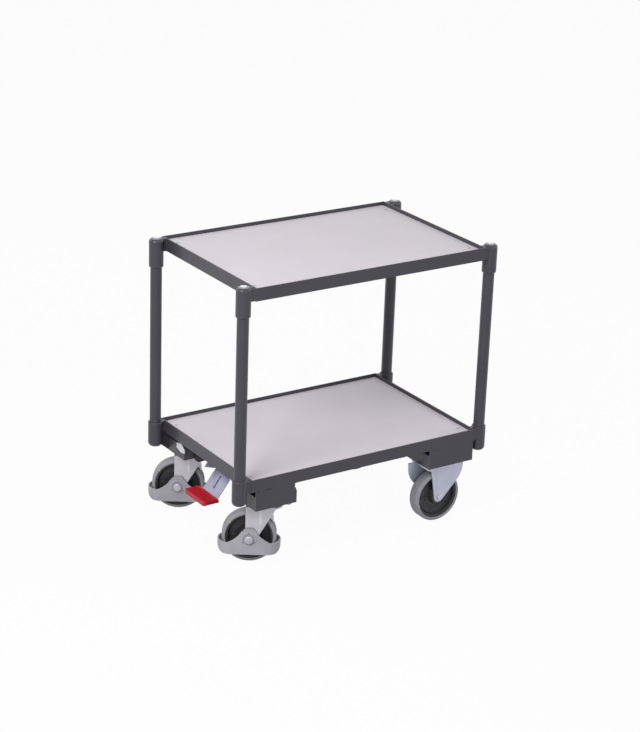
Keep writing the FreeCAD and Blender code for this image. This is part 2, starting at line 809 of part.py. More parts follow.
def make_swivel_head(side, sign):
    """Castor plate with the pressed race below it and the hollow king pin that carries the fork."""
    label = f"swivel_{side}_head"
    top = castor_height - dim.plate_thickness
    race = top - dim.race_height
    crown_top = race - dim.head_gap
    crown_floor = crown_top - dim.crown_thickness
    flange_top = crown_floor - dim.head_gap
    flange_floor = flange_top - dim.kingpin_flange
    bore = dim.plunger_radius + dim.plunger_clearance
    pin = dim.kingpin_radius
    wide = dim.race_radius
    body = turned(label, [(bore, castor_height), (wide, castor_height), (wide, race + dim.race_lip),
                          (wide - dim.race_lip, race), (pin, race), (pin, flange_top),
                          (dim.kingpin_flange_radius, flange_top), (dim.kingpin_flange_radius, flange_floor),
                          (bore, flange_floor)])
    face = sketch_on(body, "XY_Plane", label + "_plate", top)
    plate_outline(face, size(0), dim.swivel_plate_length, dim.swivel_bolt_spread)
    for x, y, _ in plate_bolt_spots(size(0), 0, 0, dim.swivel_bolt_spread):
        circle(face, x, y, dim.bolt_radius + dim.bolt_clearance)
    circle(face, 0, 0, pin)
    pad(body, face, dim.plate_thickness)
    node(place(body, -swivel_x, sign * swivel_y, 0), label)


def make_swivel_fork(side, sign):
    label = f"swivel_{side}_fork"
    top = castor_height - dim.plate_thickness - dim.race_height - dim.head_gap
    crown = new_body(label + "_crown")
    face = sketch_on(crown, "XY_Plane", label + "_crown_face", top)
    tip = dim.swivel_leg_offset - dim.castor_trail
    rear = tip - dim.swivel_leg_end_radius
    wide = dim.swivel_fork_half_width
    nose = dim.crown_radius
    flank = root(nose * nose - dim.crown_front * dim.crown_front)
    outline(face, [(rear, -wide), (flank, -wide), (flank + wide - dim.crown_front, -dim.crown_front, nose, 1),
                   (flank + wide - dim.crown_front, dim.crown_front), (flank, wide), (rear, wide)])
    circle(face, 0, 0, dim.kingpin_radius + dim.kingpin_clearance)
    pad(crown, face, dim.crown_thickness, backwards=True)
    leg_top = top - dim.crown_thickness / 2
    edges = (dim.swivel_leg_end_radius, size(0), dim.swivel_leg_front_angle, None)
    fold = (dim.swivel_leg_fold - dim.castor_trail, 1)
    leg = make_leg(label + "_leg", wide, dim.swivel_leg_depth, -dim.castor_trail, tip, leg_top, edges, fold)
    far_leg = mirrored(label + "_far_leg", leg, (0, 1, 0))
    fork = combined("Part::MultiFuse", label, [leg, far_leg, crown])
    node(place(fork, -swivel_x, sign * swivel_y, 0, (0, 0, -1), dim.castor_turn_angle), label)


def make_guard(side, x, y):
    """Foot guard: a stadium ring round the wheel that sweeps up to the axle on both sides."""
    label = f"swivel_{side}_foot_guard"
    ring = new_body(label + "_ring")
    floor = dim.wheel_radius - dim.guard_below_axle
    band = dim.wheel_radius - dim.guard_band_below_axle
    top = dim.wheel_radius + dim.guard_above_axle
    reach = dim.wheel_radius + dim.guard_room
    for name, trim, level in (("outer", size(0), floor), ("inner", dim.guard_wall, top)):
        plan = sketch_on(ring, "XY_Plane", f"{label}_{name}", level)
        bend = dim.guard_width / 2 - trim
        tip = reach - trim
        run = tip - bend
        outline(plan, [(-run, -bend), (run, -bend, bend, 1), (tip, 0, bend, 1), (run, bend),
                       (-run, bend, bend, 1), (-tip, 0, bend, 1)])
        if name == "outer":
            pad(ring, plan, top - floor)
        else:
            pocket(ring, plan, top - floor)
    shape = new_body(label + "_sweep")
    front = sketch_on(shape, "XZ_Plane", label + "_front")
    corner = dim.guard_corner
    outline(front, [(corner - reach, floor), (reach - corner, floor, corner, 1), (reach, floor + corner),
                    (reach, band), (dim.guard_shoulder, band, dim.guard_curve_radius, -1),
                    (dim.guard_neck, top), (-dim.guard_neck, top, dim.guard_curve_radius, -1),
                    (-dim.guard_shoulder, band), (-reach, band), (-reach, floor + corner, corner, 1)])
    pad(shape, front, dim.guard_width, symmetric=True)
    swept = combined("Part::MultiCommon", label + "_swept", [ring, shape])
    bosses = []
    for sign in SIDES.values():
        boss = new_body(label + "_boss")
        wall_middle = (dim.guard_width - dim.guard_wall) / 2
        disc = sketch_on(boss, "XZ_Plane", label + "_boss_disc", sign * wall_middle)
        circle(disc, 0, dim.wheel_radius, dim.guard_boss_radius)
        pad(boss, disc, wall_middle - dim.swivel_fork_half_width, backwards=sign > 0)
        bosses.append(boss)
    solid = combined("Part::MultiFuse", label + "_solid", [swept] + bosses)
    drill = new_body(label + "_drill")
    bore = sketch_on(drill, "XZ_Plane", label + "_bore")
    circle(bore, 0, dim.wheel_radius, dim.axle_radius + dim.axle_clearance)
    pad(drill, bore, dim.guard_width, symmetric=True)
    for sign in SIDES.values():
        seat = sketch_on(drill, "XZ_Plane", label + "_seat", sign * (dim.guard_width / 2 - dim.guard_recess))
        circle(seat, 0, dim.wheel_radius, dim.guard_recess_radius)
        pad(drill, seat, dim.guard_recess + dim.guard_wall, backwards=sign < 0)
    guard = combined("Part::Cut", label, (solid, drill))
    node(place(guard, x, y, 0, (0, 0, -1), dim.castor_turn_angle), label)


def make_plunger_and_shoe(side, sign):
    """Brake plunger through the king pin, and the shoe in the fork that it presses on the tyre."""
    label = f"brake_{side}_plunger"
    radius = dim.plunger_radius
    cam_floor = shaft_height - dim.cam_throw * cosine(dim.cam_angle) - dim.cam_radius
    top = cam_floor - dim.cam_gap
    under_head = top - dim.plunger_head_height
    plunger = turned(label, [(0, plunger_foot), (radius, plunger_foot), (radius, under_head),
                             (dim.plunger_head_radius, under_head), (dim.plunger_head_radius, top), (0, top)])
    node(place(plunger, -swivel_x, sign * swivel_y, 0), label)
    label = f"brake_{side}_shoe"
    shoe = new_body(label)
    side_view = sketch_on(shoe, "XZ_Plane", label + "_side")
    face = dim.wheel_radius + dim.shoe_tyre_gap
    heel = -dim.shoe_half_length
    toe = dim.shoe_half_length
    heel_z = dim.wheel_radius + root(face * face - (heel + dim.castor_trail) * (heel + dim.castor_trail))
    toe_z = dim.wheel_radius + root(face * face - (toe + dim.castor_trail) * (toe + dim.castor_trail))
    shoe_top = plunger_foot - dim.shoe_gap
    outline(side_view, [(heel, heel_z, face, -1), (toe, toe_z), (toe, toe_z + dim.shoe_toe),
                        (radius, shoe_top), (heel, shoe_top)])
    pad(shoe, side_view, dim.shoe_half_width * 2, symmetric=True)
    node(place(shoe, -swivel_x, sign * swivel_y, 0, (0, 0, -1), dim.castor_turn_angle), label)


def make_swivel_castors():
    back = dim.castor_trail
    along = (-back * cosine(dim.castor_turn_angle), back * sine(dim.castor_turn_angle))
    room = dim.swivel_fork_half_width - dim.swivel_leg_depth
    for side, sign in SIDES.items():
        x = -swivel_x
        y = sign * swivel_y
        make_swivel_head(side, sign)
        make_swivel_fork(side, sign)
        make_wheel(f"swivel_{side}", x, y, along, dim.castor_turn_angle, room)
        make_guard(side, x + along[0], y + along[1])
        label = f"swivel_{side}_axle"
        axle = make_axle(label, dim.guard_width / 2 - dim.guard_recess, dim.swivel_axle_head_radius)
        place(axle, x + along[0], y + along[1], dim.wheel_radius, (0, 0, -1), dim.castor_turn_angle)
        node(axle, label)
        make_plunger_and_shoe(side, sign)


def make_brake_shaft():
    """Hexagon shaft across both swivel castors, with an eccentric cam over each plunger."""
    shaft = new_body("brake_shaft")
    section = sketch_on(shaft, "XZ_Plane", "brake_shaft_hexagon")
    hexagon(section, dim.shaft_flat)
    pad(shaft, section, (swivel_y + dim.shaft_end) * 2, symmetric=True)
    for side, sign in SIDES.items():
        cam = sketch_on(shaft, "XZ_Plane", f"brake_{side}_cam", dim.cam_width / 2 - sign * swivel_y)
        circle(cam, -dim.cam_throw * sine(dim.cam_angle), -dim.cam_throw * cosine(dim.cam_angle),
               dim.cam_radius)
        pad(shaft, cam, dim.cam_width, backwards=True)
    node(place(shaft, -swivel_x, 0, shaft_height), "brake_shaft")


def make_bearings():
    """Two bearing plates for the brake shaft, each seated in its bracket's inner wall."""
    corner_point = dim.shaft_flat * 2 / root(size(3))
    plates = []
    for side, sign in SIDES.items():
        name = f"brake_{side}_bearing"
        plate = new_body(name)
        face = sketch_on(plate, "XZ_Plane", name + "_face", -sign * bracket_inner)
        bend = dim.bearing_round
        low = -dim.shaft_rise - dim.bearing_drop
        high = dim.bracket_height - dim.bracket_side_drop - dim.shaft_rise
        front = -dim.bearing_front
        back = dim.bearing_back
        outline(face, [(front + bend, low), (back - bend, low, bend, 1), (back, low + bend), (back, high),
                       (front, high), (front, low + bend, bend, 1)])
        pad(plate, face, dim.bearing_thickness, backwards=sign < 0)
        boss = sketch_on(plate, "XZ_Plane", name + "_boss", -sign * bracket_inner)
        circle(boss, 0, 0, dim.bearing_boss_radius)
        pad(plate, boss, dim.bracket_wall, backwards=sign > 0)
        bore = sketch_on(plate, "XZ_Plane", name + "_bore")
        circle(bore, 0, 0, corner_point + dim.bearing_clearance)
        pocket(plate, bore)
        plates.append(plate)
    bearings = combined("Part::Compound", "brake_shaft_bearings", plates)
    node(place(bearings, -swivel_x, 0, shaft_height), "brake_shaft_bearings")


def sheet_offset(first, second):
    """How far the under face's bend lies from the upper face's, between two slopes of the sheet."""
    mean = (first + second) / 2
    miter = dim.arm_sheet / cosine((second - first) / 2)
    return miter * sine(mean), -miter * cosine(mean)


def make_pedal():
    """Pedal arm bent from sheet round the shaft, with a crossbar at its head, and the moulded foot pedal."""
    level = size(0)
    link = dim.arm_link_angle
    slope = dim.arm_angle
    elbow_x = -dim.arm_link_length * cosine(link)
    elbow_z = -dim.arm_link_length * sine(link)
    foot = elbow_x - dim.arm_length * cosine(slope)
    tread = elbow_z - dim.arm_length * sine(slope)
    bends = [(size(0), size(0), sheet_offset(link, link)), (elbow_x, elbow_z, sheet_offset(link, slope)),
             (foot, tread, sheet_offset(slope, level)),
             (foot - dim.arm_tongue, tread, sheet_offset(level, level))]
    bar = bracket_inner - dim.bearing_thickness - dim.arm_bar_gap
    arm = new_body("pedal_arm")
    hub = sketch_on(arm, "XZ_Plane", "pedal_arm_hub")
    circle(hub, 0, 0, dim.arm_hub_radius)
    pad(arm, hub, bar * 2, symmetric=True)
    strip = sketch_on(arm, "XZ_Plane", "pedal_arm_strip")
    upper = [(x, z) for x, z, _ in bends]
    under = [(x + shift[0], z + shift[1]) for x, z, shift in reversed(bends)]
    outline(strip, upper + under)
    pad(arm, strip, bar * 2, symmetric=True)
    sides = sketch_on(arm, "YZ_Plane", "pedal_arm_sides")
    lowest = tread - dim.arm_sheet - dim.pedal_below
    for sign in SIDES.values():
        waist = sign * dim.arm_half_width
        tip = sign * (bar + dim.arm_sheet)
        bar_top = elbow_z + dim.arm_sheet
        outline(sides, [(waist, lowest), (waist, bar_top - dim.arm_bar_inner_depth),
                        (tip, bar_top - dim.arm_bar_outer_depth), (tip, lowest)])
    pocket(arm, sides)
    slot = sketch_on(arm, "YZ_Plane", "pedal_arm_slot")
    wide = dim.arm_slot_width / 2
    low = tread + dim.arm_slot_from_bend
    high = low + dim.arm_slot_length
    outline(slot, [(-wide, low, wide, 1), (0, low - wide, wide, 1), (wide, low), (wide, high, wide, 1),
                   (0, high + wide, wide, 1), (-wide, high)])
    pocket(arm, slot)
    socket = sketch_on(arm, "XZ_Plane", "pedal_arm_socket")
    hexagon(socket, dim.shaft_flat + dim.arm_hub_clearance)
    pocket(arm, socket)
    node(place(arm, -swivel_x, 0, shaft_height), "pedal_arm")
    make_pedal_pad(foot, tread)


def make_pedal_pad(foot, tread):
    pedal = new_body("foot_pedal")
    side_view = sketch_on(pedal, "XZ_Plane", "foot_pedal_side")
    near = foot - dim.pedal_from_bend
    far = near - dim.pedal_length
    high = tread + dim.pedal_above
    low = tread - dim.arm_sheet - dim.pedal_below
    lip = dim.pedal_lip
    drop = dim.pedal_lip_drop
    bevel = dim.pedal_bevel
    dish = dim.pedal_dish_radius
    outline(side_view, [(far, low - drop), (far + drop, low - drop), (far + drop + lip, low), (near, low),
                        (near, high - bevel), (near - lip, high, dish, -1), (far + drop, high),
                        (far, high - bevel)])
    block = pad(pedal, side_view, dim.pedal_half_width * 2, symmetric=True)
    wide = dim.pedal_half_width.value
    corners = round_edges(pedal, block, dim.pedal_corner,
                          lambda edge: abs(abs(edge.CenterOfMass.y) - wide) < SAME_PLACE
                          and edge.BoundBox.XLength < SAME_PLACE
                          and edge.BoundBox.XMax < far.value + SAME_PLACE)
    doc.recompute()
    pedal.Tip = corners
    gap = dim.tongue_clearance
    slot = sketch_on(pedal, "XZ_Plane", "foot_pedal_slot")
    rectangle(slot, foot - dim.arm_tongue - gap, near + gap, tread - dim.arm_sheet - gap, tread + gap)
    cut = pocket(pedal, slot, (dim.arm_half_width + gap) * 2)
    cut.SideType = "Symmetric"
    node(place(pedal, -swivel_x, 0, shaft_height), "foot_pedal")


make_frames()
make_boards()
make_posts()
make_brackets()
make_fixed_castors()
make_swivel_castors()
make_brake_shaft()
make_bearings()
make_pedal()
doc.recompute()

failed = [thing.Name for thing in doc.Objects if "Invalid" in thing.State or "Error" in thing.State]
if failed:
    raise RuntimeError(f"failed objects: {failed}")
bad = [thing.Label for thing in nodes if thing.Shape.isNull() or not thing.Shape.isValid()]
if bad:
    raise RuntimeError(f"shapes that are not valid: {bad}")
os.makedirs("parts", exist_ok=True)
for thing in nodes:
    thing.Shape.exportStep(f"parts/{thing.Label}.step")
print(f"{len(nodes)} sub-parts")
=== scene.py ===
import json
import math

import bmesh
import bpy
from mathutils import Matrix, Vector

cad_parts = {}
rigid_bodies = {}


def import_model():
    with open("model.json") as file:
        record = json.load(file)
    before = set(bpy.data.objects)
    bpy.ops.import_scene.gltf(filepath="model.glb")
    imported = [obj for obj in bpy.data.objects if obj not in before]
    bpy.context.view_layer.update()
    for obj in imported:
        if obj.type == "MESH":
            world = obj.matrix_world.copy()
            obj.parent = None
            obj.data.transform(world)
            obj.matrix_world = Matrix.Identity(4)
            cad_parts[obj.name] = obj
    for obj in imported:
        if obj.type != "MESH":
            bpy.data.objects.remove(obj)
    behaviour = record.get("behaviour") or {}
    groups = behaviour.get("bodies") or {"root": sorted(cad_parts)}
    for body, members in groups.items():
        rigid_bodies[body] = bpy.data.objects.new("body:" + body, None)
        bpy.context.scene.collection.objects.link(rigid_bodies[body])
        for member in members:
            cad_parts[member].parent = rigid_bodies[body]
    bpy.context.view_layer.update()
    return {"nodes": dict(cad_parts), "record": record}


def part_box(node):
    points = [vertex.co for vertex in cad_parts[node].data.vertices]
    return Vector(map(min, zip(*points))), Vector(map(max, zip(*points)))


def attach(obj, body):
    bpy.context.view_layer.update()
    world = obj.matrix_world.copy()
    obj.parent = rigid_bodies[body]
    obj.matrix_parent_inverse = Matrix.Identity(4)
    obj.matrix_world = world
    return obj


for leftover in list(bpy.data.objects):
    bpy.data.objects.remove(leftover)
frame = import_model()
nodes = frame["nodes"]
slots = {part["node"]: part["material_slot"] for part in frame["record"]["subparts"]}
joints = {joint["name"]: joint for joint in frame["record"]["behaviour"]["joints"]}

# Lengths are in metres, as in the frame; display colours run from 0 to 255

TAU = math.tau
UP = Vector((0, 0, 1))
X = 0
Y = 1
ENDS = {"left": -1, "right": 1}
SIDES = {"front": -1, "back": 1}


# Colours and node helpers

# Sockets of a Mix node that is set to colour
MIX_FACTOR = 0
MIX_FIRST = 6
MIX_SECOND = 7
MIX_RESULT = 2


def shade(colour, share):
    """A display colour made darker or lighter by a share."""
    return tuple(min(255, channel * share) for channel in colour)


def tone(colour):
    """A display colour as the linear colour that a shader takes, by the sRGB curve."""
    channels = []
    for value in colour:
        share = value / 255
        channels.append(share / 12.92 if share <= 0.04045 else ((share + 0.055) / 1.055) ** 2.4)
    return (*channels, 1.0)


class Surface:
    """A node material under construction."""

    def __init__(self, name):
        self.material = bpy.data.materials.new(name)
        self.material.use_nodes = True
        self.tree = self.material.node_tree
        self.tree.nodes.clear()
        self.shader = self.add("ShaderNodeBsdfPrincipled")
        output = self.add("ShaderNodeOutputMaterial")
        self.plug(self.shader.outputs["BSDF"], output.inputs["Surface"])
        self.place = self.add("ShaderNodeTexCoord").outputs["Object"]

    def add(self, kind, **settings):
        """A new node with the given settings."""
        node = self.tree.nodes.new(kind)
        for name, value in settings.items():
            setattr(node, name, value)
        return node

    def plug(self, value, socket):
        """Link another node's output to a socket, or set the socket to a constant."""
        if isinstance(value, bpy.types.NodeSocket):
            self.tree.links.new(value, socket)
        else:
            socket.default_value = value

    def feed(self, node, **values):
        """Set or link a node's inputs; underscores in a name stand for spaces."""
        for name, value in values.items():
            self.plug(value, node.inputs[name.replace("_", " ")])
        return node

    def stretched(self, scale):
        """The object's own coordinates, scaled differently along each axis."""
        mapping = self.add("ShaderNodeMapping")
        self.feed(mapping, Vector=self.place, Scale=scale)
        return mapping.outputs["Vector"]

    def noise(self, scale, detail, roughness=0.55, stretch=None):
        node = self.add("ShaderNodeTexNoise")
        where = self.stretched(stretch) if stretch else self.place
        self.feed(node, Vector=where, Scale=scale, Detail=detail, Roughness=roughness)
        return node.outputs["Fac"]

    def cells(self, scale):
        node = self.add("ShaderNodeTexVoronoi")
        self.feed(node, Vector=self.place, Scale=scale)
        return node.outputs["Color"]

    def ramp(self, factor, stops):
        """Display colours at given positions of a factor, blended between them."""
        node = self.add("ShaderNodeValToRGB")
        bands = node.color_ramp.elements
        while len(bands) < len(stops):
            bands.new(0.5)
        for band, (position, colour) in zip(bands, stops):
            band.position = position
            band.color = tone(colour)
        self.feed(node, Fac=factor)
        return node.outputs["Color"]

    def between(self, factor, low, high, start=0.3, end=0.7):
        """A factor from start to end, stretched to run from low to high."""
        node = self.add("ShaderNodeMapRange")
        self.feed(node, Value=factor, From_Min=start, From_Max=end, To_Min=low, To_Max=high)
        return node.outputs["Result"]

    def mixed(self, factor, first, second):
        node = self.add("ShaderNodeMix", data_type="RGBA")
        self.plug(factor, node.inputs[MIX_FACTOR])
        self.plug(first, node.inputs[MIX_FIRST])
        self.plug(second, node.inputs[MIX_SECOND])
        return node.outputs[MIX_RESULT]

    def edges(self, radius, sharp, flat):
        """Near 1 on sharp edges and 0 on open faces, broken up by noise so that wear is uneven; on the chrome
        cap the same mask carries a painted reflection.
        """
        soft = self.feed(self.add("ShaderNodeBevel", samples=6), Radius=radius)
        true = self.add("ShaderNodeNewGeometry")
        dot = self.add("ShaderNodeVectorMath", operation="DOT_PRODUCT")
        self.plug(soft.outputs["Normal"], dot.inputs[0])
        self.plug(true.outputs["Normal"], dot.inputs[1])
        bare = self.between(dot.outputs["Value"], low=1.0, high=0.0, start=sharp, end=flat)
        broken = self.between(self.noise(scale=240.0, detail=4.0), low=0.25, high=1.0)
        product = self.add("ShaderNodeMath", operation="MULTIPLY")
        self.plug(bare, product.inputs[0])
        self.plug(broken, product.inputs[1])
        return product.outputs[0]

    def facing_up(self):
        """1 on faces that look straight up, with no smoothing across their edges."""
        split = self.add("ShaderNodeSeparateXYZ")
        self.feed(split, Vector=self.add("ShaderNodeNewGeometry").outputs["True Normal"])
        return split.outputs["Z"]

    def bump(self, height, distance, strength, under=None):
        """A bumped normal, laid over another one where there is one under it."""
        node = self.add("ShaderNodeBump")
        self.feed(node, Height=height, Distance=distance, Strength=strength)
        if under:
            self.plug(under, node.inputs["Normal"])
        return node.outputs["Normal"]

    def shade_with(self, **values):
        """Set or link the shader's own inputs."""
        self.feed(self.shader, **values)


# Materials, one for each material slot and for the small added pieces


def paint(name, base, worn):
    """Powder coat: even colour with faint clouds, fine orange peel, edges rubbed a little paler."""
    made = Surface(name)
    clouds = made.noise(scale=9.0, detail=4.0)
    colour = made.ramp(clouds, ((0.25, shade(base, 0.94)), (0.55, base), (0.8, shade(base, 1.06))))
    specks = made.between(made.noise(scale=1500.0, detail=2.0), low=0.0, high=0.12, start=0.5, end=0.8)
    colour = made.mixed(specks, colour, tone(shade(base, 1.25)))
    colour = made.mixed(made.edges(radius=0.0012, sharp=0.55, flat=0.97), colour, tone(worn))
    peel = made.bump(made.noise(scale=1100.0, detail=3.0), distance=0.00006, strength=0.6)
    normal = made.bump(made.noise(scale=60.0, detail=2.0), distance=0.0003, strength=0.15, under=peel)
    rough = made.between(made.noise(scale=35.0, detail=4.0), low=0.3, high=0.4)
    made.shade_with(Base_Color=colour, Roughness=rough, Normal=normal,
                    Specular_IOR_Level=0.3, Coat_Weight=0.12, Coat_Roughness=0.1)
    return made.material


def laminate(name, base):
    """Pale melamine board: soft clouds, a fine print of specks, faint scuffs along the shelf."""
    made = Surface(name)
    clouds = made.noise(scale=5.0, detail=5.0)
    colour = made.ramp(clouds, ((0.3, shade(base, 0.975)), (0.6, base), (0.85, shade(base, 1.02))))
    specks = made.between(made.noise(scale=900.0, detail=2.0), low=0.0, high=0.16, start=0.52, end=0.75)
    colour = made.mixed(specks, colour, tone(shade(base, 0.9)))
    streaks = made.noise(scale=14.0, detail=6.0, roughness=0.7, stretch=(0.6, 9.0, 1.0))
    scuffs = made.between(streaks, low=0.0, high=0.1, start=0.62, end=0.8)
    colour = made.mixed(scuffs, colour, tone(shade(base, 0.86)))
    colour = made.mixed(made.edges(radius=0.001, sharp=0.5, flat=0.95), colour, tone(shade(base, 0.9)))
    rough = made.between(made.noise(scale=40.0, detail=4.0), low=0.46, high=0.62)
    normal = made.bump(made.noise(scale=700.0, detail=3.0), distance=0.00005, strength=0.5)
    made.shade_with(Base_Color=colour, Roughness=rough, Normal=normal, Specular_IOR_Level=0.35)
    return made.material


def plating(name, dark, light, rough, metallic, edge=(226, 228, 232), slope_reflection=None):
    """Zinc or chrome plate: wide soft clouds, fine crystal specks, uneven polish, rubbed edges.

    A slope reflection colour paints the faces that don't lie level darker, so that a screw head's level crown
    stays the bright part: a painted reflection. On the chrome cap the darker edge colour belongs to the same
    painted reflection.
    """
    made = Surface(name)
    clouds = made.noise(scale=26.0, detail=3.0, roughness=0.5)
    patches = made.mixed(0.12, clouds, made.cells(scale=700.0))
    colour = made.ramp(patches, ((0.2, dark), (0.8, light)))
    colour = made.mixed(made.edges(radius=0.0009, sharp=0.5, flat=0.96), colour, tone(edge))
    if slope_reflection:
        tilted_reflection = made.between(made.facing_up(), low=1.0, high=0.0, start=0.96, end=0.995)
        colour = made.mixed(tilted_reflection, colour, tone(slope_reflection))
    polish = made.noise(scale=260.0, detail=4.0, roughness=0.6)
    made.shade_with(Base_Color=colour, Metallic=metallic, Roughness=made.between(polish, *rough),
                    Normal=made.bump(polish, distance=0.00006, strength=0.35))
    return made.material


def moulded(name, base, worn, rough, grain=420.0, relief=0.00006):
    """Moulded plastic or rubber: fine grain, slight flow marks, a little dust, edges rubbed."""
    made = Surface(name)
    flow = made.noise(scale=22.0, detail=5.0)
    colour = made.ramp(flow, ((0.25, shade(base, 0.93)), (0.55, base), (0.85, shade(base, 1.06))))
    cover = made.noise(scale=310.0, detail=4.0, roughness=0.65)
    dust = made.between(cover, low=0.0, high=0.14, start=0.55, end=0.8)
    colour = made.mixed(dust, colour, tone(worn))
    colour = made.mixed(made.edges(radius=0.0012, sharp=0.5, flat=0.96), colour, tone(worn))
    made.shade_with(Base_Color=colour, Specular_IOR_Level=0.4,
                    Roughness=made.between(made.noise(scale=48.0, detail=4.0), *rough),
                    Normal=made.bump(made.noise(scale=grain, detail=4.0), distance=relief, strength=0.6))
    return made.material


SURFACES = {
    "frame_paint": paint("frame_paint", (64, 62, 70), (90, 88, 96)),
    "shelf_board": laminate("shelf_board", (208, 201, 208)),
    "zinc": plating("zinc", (182, 179, 187), (204, 201, 209), (0.34, 0.46), 0.45),
    "zinc_blue": plating("zinc_blue", (173, 176, 194), (195, 198, 212), (0.34, 0.46), 0.5),
    "zinc_arm": plating("zinc_arm", (158, 161, 183), (180, 183, 203), (0.34, 0.46), 0.5),
    "zinc_head": plating("zinc_head", (166, 165, 171), (188, 187, 193), (0.4, 0.52), 0.45),
    "zinc_bright": plating("zinc_bright", (198, 198, 204), (220, 220, 225), (0.3, 0.42), 0.3),
    # A darker copy of zinc, painted shade for the swivel heads that sit under the brackets
    "zinc_painted_shade": plating("zinc_painted_shade", (104, 104, 112), (124, 124, 132), (0.4, 0.55), 0.3),
    # The chrome cap's darker edge and slope colours are a painted reflection round its bright crown
    "cap_chrome": plating("cap_chrome", (222, 222, 228), (238, 238, 242), (0.16, 0.28), 0.3,
                          edge=(150, 150, 158), slope_reflection=(132, 132, 140)),
    "tyre_grey": moulded("tyre_grey", (147, 146, 152), (165, 164, 170), (0.55, 0.72),
                         grain=700.0, relief=0.00008),
    "rim_plastic": moulded("rim_plastic", (46, 46, 49), (74, 74, 78), (0.34, 0.5)),
    "bearing_steel": plating("bearing_steel", (150, 152, 158), (186, 188, 194), (0.25, 0.4), 0.8),
    "guard_plastic": moulded("guard_plastic", (163, 162, 169), (184, 183, 190), (0.42, 0.58)),
    "bearing_plastic": moulded("bearing_plastic", (48, 47, 50), (80, 79, 83), (0.45, 0.6)),
    "pedal_red": moulded("pedal_red", (184, 14, 34), (210, 58, 68), (0.36, 0.5)),
}
# Dark for the open gaps in the welds, and painted shade for the small pin holes on the guards
DARK_SEAM_AND_PIT_SHADE = moulded("seam_dark_and_pit_shade", (22, 20, 24), (36, 34, 38), (0.6, 0.8))
MARK = moulded("mark_yellow", (206, 200, 70), (214, 210, 110), (0.5, 0.65))


# Finish of the solids

# Solids whose plating differs from that of their material slot; on the swivel heads the darker zinc is not a
# plating of their own but painted shade under the brackets
TINTED = {
    "pedal_arm": "zinc_arm",
    "fixed_front_fork": "zinc_blue",
    "fixed_back_fork": "zinc_blue",
    "swivel_front_head": "zinc_painted_shade",
    "swivel_back_head": "zinc_painted_shade",
    "brake_front_shoe": "zinc",
    "brake_back_shoe": "zinc",
}
FINE_EDGE = 0.0002
PLAIN_EDGE = 0.0004
BROAD_EDGE = 0.0008
FINE_WORDS = ("board_screws", "bolts", "bush")
BROAD_WORDS = ("rail", "bracket", "guard", "foot_pedal")
EDGE_ANGLE = math.radians(35)
EDGE_SEGMENTS = 2
FLAT_ANGLE = math.radians(0.5)
WELD_REACH = 0.00001
FACE_WEIGHT = 60


def edge_width(name):
    """Width of the small round on a solid's edges."""
    if any(word in name for word in FINE_WORDS):
        return FINE_EDGE
    if any(word in name for word in BROAD_WORDS):
        return BROAD_EDGE
    return PLAIN_EDGE


def dress(name, item, slot):
    """Give a solid its finish and small rounds on its edges."""
    item.data.materials.clear()
    item.data.materials.append(SURFACES[slot])
    weld = item.modifiers.new("weld", "WELD")
    weld.merge_threshold = WELD_REACH
    plain = item.modifiers.new("plain", "DECIMATE")
    plain.decimate_type = "DISSOLVE"
    plain.angle_limit = FLAT_ANGLE
    bevel = item.modifiers.new("edges", "BEVEL")
    bevel.width = edge_width(name)
    bevel.segments = EDGE_SEGMENTS
    bevel.limit_method = "ANGLE"
    bevel.angle_limit = EDGE_ANGLE
    bevel.use_clamp_overlap = True
    bevel.harden_normals = False
    smooth = item.modifiers.new("shade", "WEIGHTED_NORMAL")
    smooth.keep_sharp = False
    smooth.weight = FACE_WEIGHT


# Mesh helpers for the small pieces, each of which rides on the body that carries it

MERGE_REACH = 0.000001
RING_SINK = 0.0004
BEAD_VALLEY = 0.8
BEAD_TIP = 0.05
BEAD_TAPER = 4.0
BEAD_RINGS = 6
SOFT_SEGMENTS = 3


def add_piece(name, made, material, body):
    """Turn a finished bmesh into a smooth piece that rides on a body."""
    bmesh.ops.remove_doubles(made, verts=made.verts, dist=MERGE_REACH)
    bmesh.ops.recalc_face_normals(made, faces=made.faces)
    mesh = bpy.data.meshes.new(name)
    made.to_mesh(mesh)
    made.free()
    for face in mesh.polygons:
        face.use_smooth = True
    mesh.materials.append(material)
    item = bpy.data.objects.new(name, mesh)
    bpy.context.scene.collection.objects.link(item)
    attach(item, body)
    return item


def flat_faces(item, width):
    """Keep a piece's faces flat and round its edges a little."""
    for face in item.data.polygons:
        face.use_smooth = False
    soft = item.modifiers.new("edges", "BEVEL")
    soft.width = width
    soft.segments = SOFT_SEGMENTS


def lathe(made, profile, centre, axis, segments=72):
    """Spin a closed outline of (radius, height) corners about an axis."""
    axis = axis.normalized()
    side = axis.orthogonal().normalized()
    other = axis.cross(side)
    rings = []
    for step in range(segments):
        angle = TAU * step / segments
        outward = side * math.cos(angle) + other * math.sin(angle)
        rings.append([made.verts.new(centre + outward * radius + axis * height)
                      for radius, height in profile])
    for ring, following in zip(rings, rings[1:] + rings[:1]):
        for first in range(len(profile)):
            second = (first + 1) % len(profile)
            if profile[first][0] == 0 and profile[second][0] == 0:
                continue
            made.faces.new((ring[first], following[first], following[second], ring[second]))


def dome(radius, height, foot, steps=8):
    """Outline of a low dome that stands on a short foot, for a lathe."""
    arch = [(radius * math.cos(TAU / 4 * k / steps), foot + height * math.sin(TAU / 4 * k / steps))
            for k in range(steps + 1)]
    arch[-1] = (0, foot + height)
    return [(0, 0), (radius, 0)] + arch


def ring_band(inner, outer, floor, rise, steps=6):
    """Outline of a ring with a rounded crest, sunk a little into the face it lies on, for a lathe."""
    middle = (inner + outer) / 2
    half = (outer - inner) / 2
    crest = [(middle - half * math.cos(TAU / 2 * k / steps), floor + rise * math.sin(TAU / 2 * k / steps))
             for k in range(steps + 1)]
    return [(outer, floor - RING_SINK), (inner, floor - RING_SINK)] + crest


